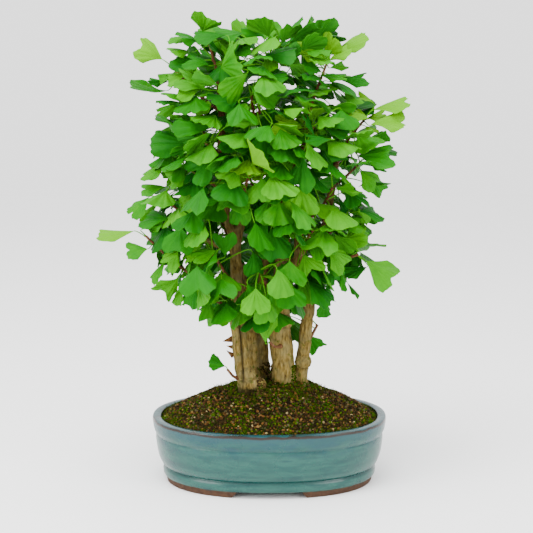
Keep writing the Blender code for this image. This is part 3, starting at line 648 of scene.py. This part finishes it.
# The dry scraps. Three curled brown bits of old leaf caught on the left trunk, low down.
# Each is a flattened cone, bent at its point, with its wide end against the bark.
scrap_spots = ((-0.041, 0.155, -0.5, 1.0), (-0.040, 0.148, 0.4, 0.62), (-0.040, 0.141, 1.3, 0.8))
scrap_depth = -0.024
scrap_length = 0.012
scrap_radii = (0.0042, 0.0002)
scrap_flatness = 0.28
scrap_bend = 12
scrap_crumple = 0.0012
for number, (x, z, lean, share) in enumerate(scrap_spots):
    only(camera)
    bpy.ops.mesh.primitive_cone_add(vertices=9, radius1=scrap_radii[0], radius2=scrap_radii[1],
                                    depth=scrap_length, end_fill_type="NGON")
    scrap = bpy.context.object
    scrap.name = f"dry_scrap_{number + 1}"
    bpy.ops.object.mode_set(mode="EDIT")
    bpy.ops.mesh.select_all(action="SELECT")
    bpy.ops.mesh.subdivide(number_cuts=3)
    bpy.ops.object.mode_set(mode="OBJECT")
    foot = tree_surface.find_nearest(pot_middle + Vector((x, scrap_depth, z)))[0]
    for vert in scrap.data.vertices:
        p = vert.co.copy()
        p.y *= scrap_flatness
        p.y += scrap_bend * p.z * p.z + noise.noise(p * 420 + Vector((number, 0, 0))) * scrap_crumple
        vert.co = p * share
    scrap.data.transform(Matrix.Translation(foot + Vector((-scrap_length * share * 0.35, -0.001, 0)))
                         @ Matrix.Rotation(-math.pi / 2 + lean * 0.5, 4, "Y"))
    scrap.data.update()
    dry = Nodes(scrap.name, 0.85, 0.08)
    dry_tone = dry.ramp(dry.noise(420, 4.0), (0.35, (0.035, 0.012, 0.003)), (0.65, (0.14, 0.062, 0.016)))
    dress(scrap, dry.colour(dry_tone), "leaf", "tree")


# The shoots. Each solid shoot is a twig grown together with its leaves. Here it is copied
# and read: its leaves are known by edges exactly one blade long, and are taken off the
# twig. Both are grown again below, finer.
solid_blade = 0.0007
solid_blade_slack = 0.000012
columns_between = {7: 5, 5: 7}  # columns added between two edge points, by the leaf's edge points
wood_reach = 0.0022  # a twig's corners this near the tree are where it grows from
collar_radius = 0.0028
bud_radius = 0.0013
long_edge = 0.003


def read_leaves(bm):
    """Find a solid shoot's leaves: the corners of each, its edge, facing, point and stalk's root."""
    across = {}
    for edge in bm.edges:
        if abs(edge.calc_length() - solid_blade) < solid_blade_slack:
            a, b = edge.verts
            across.setdefault(a, b)
            across.setdefault(b, a)
    pairs = [(a, b) for a, b in across.items() if across.get(b) is a and a.index < b.index]
    near = {v: {e.other_vert(v) for e in v.link_edges} for pair in pairs for v in pair}

    def touching(p, q):
        return (q[0] in near[p[0]] and q[1] in near[p[1]]) or (q[1] in near[p[0]] and q[0] in near[p[1]])

    links = {p: [q for q in pairs if q is not p and touching(p, q)] for p in pairs}
    leaves, seen = [], set()
    for first in pairs:
        if first in seen or len(links[first]) != 1:
            continue
        chain = [first]
        seen.add(first)
        while True:
            onward = [q for q in links[chain[-1]] if q not in seen]
            if not onward:
                break
            chain.append(onward[0])
            seen.add(onward[0])
        if len(chain) not in columns_between:
            continue
        one = [chain[0][0]]
        for p in chain[1:]:
            here, beyond = near[one[-1]], near[across[one[-1]]]
            same_side = p[0] in here and (p[1] not in here or p[1] in beyond)
            one.append(p[0] if same_side else p[1])
        two = [across[v] for v in one]
        for top, under in ((one, two), (two, one)):
            shared = set.intersection(*(near[v] for v in top)) - set(one) - set(two)
            if len(shared) == 1:
                point = shared.pop()
                ring = {e.other_vert(point) for e in point.link_edges} - set(top) - set(under)
                lower = {v for v in ring if any(e.other_vert(v) in under for e in v.link_edges)}
                marks = (under[0], under[-1], under[len(under) // 2])
                lower = {v for v in lower if any(e.other_vert(v) in marks for e in v.link_edges)}
                heads = {point} | lower
                tail = {e.other_vert(v) for v in heads for e in v.link_edges} - heads - set(top) - set(under)
                leaves.append({"corners": top + under + list(heads),
                               "edge": [v.co.copy() for v in top],
                               "up": (top[0].co - under[0].co).normalized(),
                               "point": sum((v.co for v in heads), Vector()) / len(heads),
                               "root": sum((v.co for v in tail), Vector()) / max(1, len(tail))})
                break
    return leaves


shoots = {}
twig_bits = bmesh.new()
for node in sorted(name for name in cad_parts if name.startswith("shoot_")):
    copy = merged_copy(node, "reading")
    bm = bmesh.new()
    bm.from_mesh(copy.data)
    bm.verts.index_update()
    found = read_leaves(bm)
    gone = {v for leaf in found for v in leaf.pop("corners")}
    bmesh.ops.delete(bm, geom=list(gone), context="VERTS")
    bmesh.ops.holes_fill(bm, edges=[e for e in bm.edges if e.is_boundary], sides=0)
    wood = [v.co.copy() for v in bm.verts if tree_surface.find_nearest(v.co)[3] < wood_reach]
    if wood:
        collar = Matrix.Translation(sum(wood, Vector()) / len(wood))
        bmesh.ops.create_icosphere(bm, subdivisions=2, radius=collar_radius, matrix=collar)
    for leaf in found:
        bud = Matrix.Translation(leaf["root"])
        bmesh.ops.create_icosphere(bm, subdivisions=1, radius=bud_radius, matrix=bud)
    shoots[node] = {"leaves": found,
                    "wood": [e.verts[0].co.lerp(e.verts[1].co, 0.5) for e in bm.edges
                             if e.calc_length() > long_edge]}
    piece = bpy.data.meshes.new("twig_piece")
    bm.to_mesh(piece)
    bm.free()
    twig_bits.from_mesh(piece)
    bpy.data.meshes.remove(piece)
    bpy.data.objects.remove(copy, do_unlink=True)


# The extra leaves. More leaves on the same twigs, where the crown still shows gaps. Each
# is tried at a random place in the crown, and kept where it has room and leaves in view
# what shows of the trunks.
extra_leaves = 430
extra_tries = 15000
# Height of a level of the crown, its left and right ends and its depth, in millimetres
crown_rows = ((160, -34, 34, 56), (176, -60, 48, 78), (200, -100, 82, 94), (230, -120, 94, 102),
              (262, -112, 96, 106), (300, -122, 90, 106), (340, -118, 102, 102), (375, -104, 104, 96),
              (405, -104, 84, 86), (435, -94, 82, 72), (462, -80, 76, 54), (478, -62, 58, 40))
crown_heights = (162, 476)
crown_ends = (161, 477)  # a tip past these heights is judged by them
crown_margins = (6, 10)  # in millimetres, how far tips may pass the crown at its sides and in depth
crown_top = 0.488
innermost = 0.08
extra_widths = (0.036, 0.050)
extra_shares = (0.62, 0.72)  # of a leaf's length to its width
stalk_runs = (0.010, 0.062)
turn_aside = 55  # degrees, as are the droop, rise and roll
droop, droop_gain, droop_spread = 14, 46, (-24, 22)
rise_spread = (30, 60)
roll = 28
droop_top, droop_fall = 470, 230  # in millimetres, where the droop starts to grow and how far it grows
top_leaves = 435  # above this height some leaves stand up
rise_chance = 0.55
edge_shares = (0.85, 0.98, 1.02, 0.94, 1.02, 0.98, 0.85)
edge_spread = (0.96, 1.04)
edge_wave = (-0.002, 0.002)
edge_fall = 0.12
room = 0.0009
box_spare = 0.002
front_depth = 15
# Left, right, low and high sides in millimetres of what extra leaves in front don't cover
open_windows = ((-47, 78, 0, 172), (28, 80, 0, 200), (-49, -33, 200, 305), (-35, -24, 240, 286),
                (24, 38, 218, 262), (55, 70, 250, 322))


def rough_leaf(leaf):
    """A plain thick fan round a leaf, to test for room."""
    up, edge = leaf["up"] * room, leaf["edge"]
    count = len(edge)
    points = [leaf["point"] + up, leaf["point"] - up] + [p + up for p in edge] + [p - up for p in edge]
    faces = [(0, 2, 2 + count, 1), (0, 1 + count, 1 + 2 * count, 1)]
    for i in range(count - 1):
        faces += [(0, 2 + i, 3 + i), (1, 3 + count + i, 2 + count + i),
                  (2 + i, 2 + count + i, 3 + count + i, 3 + i)]
    return BVHTree.FromPolygons(points, faces)


def crown_at(height):
    """The left end, right end and depth of the crown at a height."""
    for low, high in zip(crown_rows, crown_rows[1:]):
        if low[0] <= height <= high[0]:
            share = (height - low[0]) / (high[0] - low[0])
            return [a + (b - a) * share for a, b in zip(low[1:], high[1:])]
    return None


taken = []
for shoot in shoots.values():
    for leaf in shoot["leaves"]:
        taken.append((rough_leaf(leaf), leaf["point"], max((p - leaf["point"]).length for p in leaf["edge"])))
spots = [(node, spot) for node, shoot in shoots.items() for spot in shoot["wood"]]
dice = random.Random(5)
added = 0
for _ in range(extra_tries):
    if added == extra_leaves:
        break
    height = dice.uniform(*crown_heights)
    left, right, depth = crown_at(height)
    turn = dice.uniform(0, math.tau)
    share = math.sqrt(dice.uniform(innermost, 1.0))
    x = (left + right) / 2 + math.cos(turn) * share * (right - left) / 2
    y = math.sin(turn) * share * depth
    point = pot_middle + Vector((x, y, height)) / 1000
    node, root = min(spots, key=lambda pair: (pair[1] - point).length_squared)
    run = (point - root).length
    if not stalk_runs[0] < run < stalk_runs[1]:
        continue
    outward = Vector((math.cos(turn), math.sin(turn), 0))
    flat = Matrix.Rotation(math.radians(dice.uniform(-turn_aside, turn_aside)), 3, "Z") @ outward
    lowness = min(1, max(0, (droop_top - height) / droop_fall))
    hang = math.radians(droop + droop_gain * lowness + dice.uniform(*droop_spread))
    if height > top_leaves and dice.random() < rise_chance:
        hang = -math.radians(dice.uniform(*rise_spread))
    along = flat * math.cos(hang) - Vector((0, 0, 1)) * math.sin(hang)
    up = flat * math.sin(hang) + Vector((0, 0, 1)) * math.cos(hang)
    up = Matrix.Rotation(math.radians(dice.uniform(-roll, roll)), 3, along) @ up
    if (point - root).normalized().dot(along) < -0.5:
        continue
    width = dice.uniform(*extra_widths)
    reach = width * dice.uniform(*extra_shares)
    spread = math.asin(width / 2 / reach)
    side = along.cross(up)
    edge = []
    for i, part in enumerate(edge_shares):
        angle = spread * (i / 3 - 1)
        far = reach * part * dice.uniform(*edge_spread)
        edge.append(point + (along * math.cos(angle) + side * math.sin(angle)) * far
                    + up * (dice.uniform(*edge_wave) - edge_fall * reach * (i / 3 - 1) ** 2))
    if any(not low - box_spare < p[k] < high + box_spare for p in edge
           for k, (low, high) in enumerate(zip(*box_of_solids))):
        continue
    tip = edge[3] - pot_middle
    limits = crown_at(min(crown_ends[1], max(crown_ends[0], tip.z * 1000)))
    centre, half = (limits[0] + limits[1]) / 2, (limits[1] - limits[0]) / 2 + crown_margins[0]
    aside, deep = (tip.x * 1000 - centre) / half, tip.y * 1000 / (limits[2] + crown_margins[1])
    if aside ** 2 + deep ** 2 > 1 or tip.z > crown_top:
        continue
    seen = [(p - pot_middle) * 1000 for p in edge + [point.lerp(q, 0.6) for q in edge[::3]]]
    if y < front_depth and any(a < p.x < b and c < p.z < d for p in seen for a, b, c, d in open_windows):
        continue
    leaf = {"edge": edge, "up": up, "point": point, "root": root}
    shape = rough_leaf(leaf)
    near = [other for other, middle, far in taken if (middle - point).length < far + reach]
    if any(shape.overlap(other) for other in near) or shape.overlap(tree_surface):
        continue
    way = point - root
    blocked = [other for other, middle, far in taken
               if (middle - (point + root) / 2).length < far + run
               and other.ray_cast(root + way * 0.1, way.normalized(), run * 0.85)[0] is not None]
    if blocked:
        continue
    taken.append((shape, point, reach))
    shoots[node]["leaves"].append(leaf)
    added += 1


# The leaves. Bright green fans on long stalks, notched and crimped at the edge, with
# veins that spread from the stalk. A few at the tips are young and yellower. Each shoot's
# leaves are one piece, on the twig where the solid shoot has them.
blade = 0.00032
leaf_rows = (0.0, 0.13, 0.34, 0.58, 0.82, 1.0)
broaden = 0.10  # a leaf's lobes curl out past its solid's straight sides
dome_shares = (-0.02, 0.14)
crimp_height = 0.001
curl_height = 0.0022
crimp_waves = (4.0, 7.0)
notch_depths = (0.0, 0.0, 0.12, 0.20)
notch_width = 0.035
lobe_from, lobe_cut = 0.66, 0.19  # rounds a blade's two outer corners off
edge_bulge = 0.06
scallops = ((31, 0.016), (67, 0.011))
waist = 0.26
rim_young = 0.22
stalk_radius = 0.00055
stalk_sides, stalk_steps = 5, 7
stalk_sunk = 0.0008
stalk_lift, stalk_bend = 0.08, 0.22  # shares of the stalk's run
stalk_flare, stalk_taper = 1.25, 0.5
stalk_tone = (0.75, 0.35, 0.5, 1.0)
leaf_crease = 50
young_reach = 0.0075
young_depth = 0.02
# From the pot's middle and from the floor, in millimetres
young_spots = ((-110, 446), (-17, 345), (33, 383), (55, 449), (58, 450), (63, 450), (107, 394), (103, 379),
               (-140, 271))


def curve_through(points, between):
    """Points on a smooth curve through the given ones, with some more between each two."""
    line = [points[0] * 2 - points[1]] + points + [points[-1] * 2 - points[-2]]
    fine = [points[0]]
    for k in range(1, len(line) - 2):
        a, b, c, d = line[k - 1:k + 3]
        for step in range(1, between + 1):
            t = step / between
            fine.append(0.5 * ((2 * b) + (c - a) * t + (2 * a - 5 * b + 4 * c - d) * t * t
                               + (3 * b - a - 3 * c + d) * t * t * t))
    return fine


def grow_blade(bm, layers, leaf, dice):
    """A thin crimped blade over the solid one. The tone's alpha is 0 on its under side."""
    uv, tone = layers
    up, start = leaf["up"], leaf["point"]
    across = (leaf["edge"][-1] - leaf["edge"][0]).normalized()
    broad = [p + across * (p - start).dot(across) * broaden for p in leaf["edge"]]
    edge = curve_through(broad, columns_between[len(broad)])
    columns = len(edge)
    dome = dice.uniform(*dome_shares) * max((p - start).length for p in edge)
    crimp = dice.uniform(0.4, 1.0) * crimp_height
    curl = dice.uniform(0.2, 1.0) * curl_height
    waves = dice.uniform(*crimp_waves)
    phase, drift = dice.uniform(0, math.tau), dice.uniform(0, math.tau)
    notch = dice.choice(notch_depths)
    fine_edge = []
    for i, p in enumerate(edge):
        u = i / (columns - 1)
        end = max(0.0, (abs(2 * u - 1) - lobe_from) / (1 - lobe_from))
        ripple = 1 + edge_bulge * math.sin(u * math.pi) - lobe_cut * end * end
        for (turns, size), offset in zip(scallops, (phase, drift)):
            ripple += size * math.sin(u * turns + offset)
        ripple -= notch * math.exp(-((u - 0.5) / notch_width) ** 2)
        fine_edge.append((p - start) * ripple)
    near = min(math.hypot(start.x - pot_middle.x - x / 1000, start.z - z / 1000) for x, z in young_spots)
    young = 1.0 if near < young_reach and start.y < pot_middle.y + young_depth else 0.0
    bright, hue = dice.uniform(0, 1), dice.uniform(0, 1)
    grids = []
    for side in (0, 1):
        rows = []
        for share in leaf_rows:
            row = []
            for i, p in enumerate(fine_edge):
                u = i / (columns - 1)
                lift = dome * 4 * share * (1 - share) * 0.6 + dome * 0.3 * share
                lift += crimp * share * math.sin(u * math.tau * waves + phase)
                lift += curl * share * share * math.sin(u * math.tau * 1.7 + drift)
                narrowing = across * p.dot(across) * (share - 1) * waist
                row.append(start + (p + narrowing) * share + up * (lift - side * blade))
                if share == 0:
                    break
            rows.append([bm.verts.new(q) for q in row])
        grids.append(rows)
    for side, rows in enumerate(grids):
        for r in range(1, len(leaf_rows)):
            for i in range(columns - 1):
                below = [rows[0][0]] if r == 1 else [rows[r - 1][i], rows[r - 1][i + 1]]
                corners = [rows[r][i]] + below + [rows[r][i + 1]]
                spots = [(i, r)] + ([(i + 0.5, 0)] if r == 1 else [(i, r - 1), (i + 1, r - 1)]) + [(i + 1, r)]
                face = bm.faces.new(corners if side == 0 else corners[::-1])
                for loop, (c, w) in zip(face.loops, spots if side == 0 else spots[::-1]):
                    loop[uv].uv = (c / (columns - 1), leaf_rows[w])
                    loop[tone] = (bright, young, hue, 1.0 - side)
    top, under = grids
    last = len(leaf_rows) - 1
    rims = [(top[last][i], top[last][i + 1], under[last][i + 1], under[last][i]) for i in range(columns - 1)]
    for i in (0, columns - 1):
        rims.append((top[1][i], top[0][0], under[0][0], under[1][i]))
        rims += [(top[r][i], top[r - 1][i], under[r - 1][i], under[r][i]) for r in range(2, last + 1)]
    for corners in rims:
        for loop in bm.faces.new(corners).loops:
            loop[tone] = (bright, max(young, rim_young), hue, 1.0)
            loop[uv].uv = (0.5, 1.0)


def grow_stalk(bm, layers, leaf):
    """The stalk: a slim tube that leaves the twig straight and bends into the blade."""
    uv, tone = layers
    start, end = leaf["root"], leaf["point"]
    run = end - start
    onward = (leaf["edge"][len(leaf["edge"]) // 2] - end).normalized()
    a = start - run.normalized() * stalk_sunk
    b = start + run * 0.45 + Vector((0, 0, stalk_lift * run.length))
    c = end - onward * run.length * stalk_bend
    rings = []
    for k in range(stalk_steps + 1):
        t = k / stalk_steps
        spot = a * (1 - t) ** 3 + b * 3 * t * (1 - t) ** 2 + c * 3 * t * t * (1 - t) + end * t ** 3
        ahead = ((b - a) * (1 - t) ** 2 + (c - b) * 2 * t * (1 - t) + (end - c) * t * t).normalized()
        side = ahead.cross(leaf["up"]).normalized()
        over = side.cross(ahead)
        radius = stalk_radius * (stalk_flare - stalk_taper * t)
        ring = []
        for i in range(stalk_sides):
            turn = math.tau * i / stalk_sides
            ring.append(bm.verts.new(spot + (side * math.cos(turn) + over * math.sin(turn)) * radius))
        rings.append(ring)
    made = [bm.faces.new(rings[0]), bm.faces.new(rings[-1][::-1])]
    for low, high in zip(rings, rings[1:]):
        for i in range(stalk_sides):
            j = (i + 1) % stalk_sides
            made.append(bm.faces.new((low[i], high[i], high[j], low[j])))
    for face in made:
        for loop in face.loops:
            loop[tone] = stalk_tone
            loop[uv].uv = (0.5, 0.02)


foliage = Nodes("ginkgo_leaf", 0.5, 0.07)
tone = foliage.add("ShaderNodeAttribute", attribute_name="tone")
parts = foliage.add("ShaderNodeSeparateColor")
foliage.feed(parts.inputs["Color"], tone.outputs["Color"])
fan = foliage.add("ShaderNodeUVMap", uv_map="fan").outputs["UV"]
veins = foliage.noise(1.0, 2.0, foliage.stretch((95, 1.6, 1), fan))
light = foliage.math("ADD", foliage.math("MULTIPLY", parts.outputs["Red"], 0.62),
                     foliage.math("MULTIPLY", foliage.noise(85, 3.0), 0.36))
green = foliage.ramp(light, (0.10, (0.0008, 0.064, 0.0001)), (0.48, (0.009, 0.140, 0.0001)),
                     (0.85, (0.060, 0.285, 0.0001)))
green = foliage.mix(foliage.math("MULTIPLY", parts.outputs["Blue"], 0.20), green, (0.016, 0.135, 0.014))
green = foliage.mix(parts.outputs["Green"], green, (0.09, 0.29, 0.0001))
vein_shade = foliage.ramp(veins, (0.36, 0.62), (0.62, 1))
green = foliage.mix(0.32, green, vein_shade, "MULTIPLY")
under = foliage.math("SUBTRACT", 1.0, tone.outputs["Alpha"])
green = foliage.mix(foliage.math("MULTIPLY", under, 0.4), green, (0.030, 0.19, 0.012))
foliage.bump(veins, 0.35, 0.0007)
leaf_material = foliage.colour(green)

for node, shoot in shoots.items():
    grown = bmesh.new()
    layers = (grown.loops.layers.uv.new("fan"), grown.loops.layers.float_color.new("tone"))
    for number, leaf in enumerate(shoot["leaves"]):
        grow_blade(grown, layers, leaf, random.Random(node + str(number)))
        grow_stalk(grown, layers, leaf)
    bmesh.ops.recalc_face_normals(grown, faces=grown.faces[:])
    mesh = bpy.data.meshes.new(node + "_leaves")
    grown.to_mesh(mesh)
    grown.free()
    leaves = add_object(node + "_leaves", mesh)
    only(leaves)
    bpy.ops.object.shade_smooth_by_angle(angle=math.radians(leaf_crease))
    dress(leaves, leaf_material, "leaf", node)


# The twigs. Red-brown young wood, one piece over all the shoots, with a collar where each
# grows from the trunks and a bud at each stalk. It is remeshed from the twigs read above.
twig_cell = 0.00055
twig_passes = 5
twig_grain = 420
twig_rough = 0.0003
mesh = bpy.data.meshes.new("twigs")
twig_bits.to_mesh(mesh)
twig_bits.free()
twigs = add_object("twigs", mesh)
rounded(twigs, twig_cell, twig_passes)
facings = [vert.normal.copy() for vert in twigs.data.vertices]
for vert, facing in zip(twigs.data.vertices, facings):
    p = vert.co.copy()
    vert.co = p + facing * noise.noise(p * twig_grain) * twig_rough
shoot_bark = Nodes("young_bark", 0.6, 0.15)
shoot_grain = shoot_bark.noise(1.0, 5.0, shoot_bark.stretch((500, 500, 120)))
shoot_tone = shoot_bark.ramp(shoot_grain, (0.3, (0.030, 0.010, 0.003)), (0.5, (0.090, 0.030, 0.008)),
                             (0.72, (0.17, 0.085, 0.030)))
shoot_bark.bump(shoot_bark.noise(1100, 4.0), 0.5, 0.0006)
dress(twigs, shoot_bark.colour(shoot_tone), "bark",
      *[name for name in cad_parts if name.startswith("shoot_")])


# The studio. A white floor under a white sky, and soft white light from above and from
# both sides.
floor_size = 6.0
floor_whites = ((0.93, 0.93, 0.93), (0.95, 0.95, 0.95))
sky_strength = 2.1
light_aim = (0, 0, 0.3)
only(camera)
bpy.ops.mesh.primitive_plane_add(size=floor_size, location=(0, 0, 0))
floor = bpy.context.object
floor.name = "studio_floor"
white = Nodes("studio_white", 0.9)
floor_tone = white.ramp(white.noise(2.0), (0.3, floor_whites[0]), (0.7, floor_whites[1]))
floor.data.materials.append(white.colour(floor_tone))
floor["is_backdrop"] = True
world = bpy.data.worlds.new("studio")
world.use_nodes = True
sky = world.node_tree.nodes["Background"]
sky.inputs["Color"].default_value = (1, 1, 1, 1)
sky.inputs["Strength"].default_value = sky_strength
bpy.context.scene.world = world

# Name, place, width in metres and power in watts
softboxes = (("top_light", (-0.3, -0.6, 1.7), 1.2, 46), ("left_light", (-1.5, -1.1, 0.8), 1.0, 26),
             ("right_light", (1.5, -1.1, 0.9), 1.0, 20))
for name, place, size, power in softboxes:
    lamp = add_object(name, bpy.data.lights.new(name, "AREA"))
    lamp.data.shape = "DISK"
    lamp.data.size = size
    lamp.data.energy = power
    lamp.location = place
    lamp.rotation_euler = (Vector(light_aim) - Vector(place)).to_track_quat("-Z", "Y").to_euler()

sizes = {"solids": [list(corner) for corner in box_of_solids], "dressed": [list(corner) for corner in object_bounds()]}
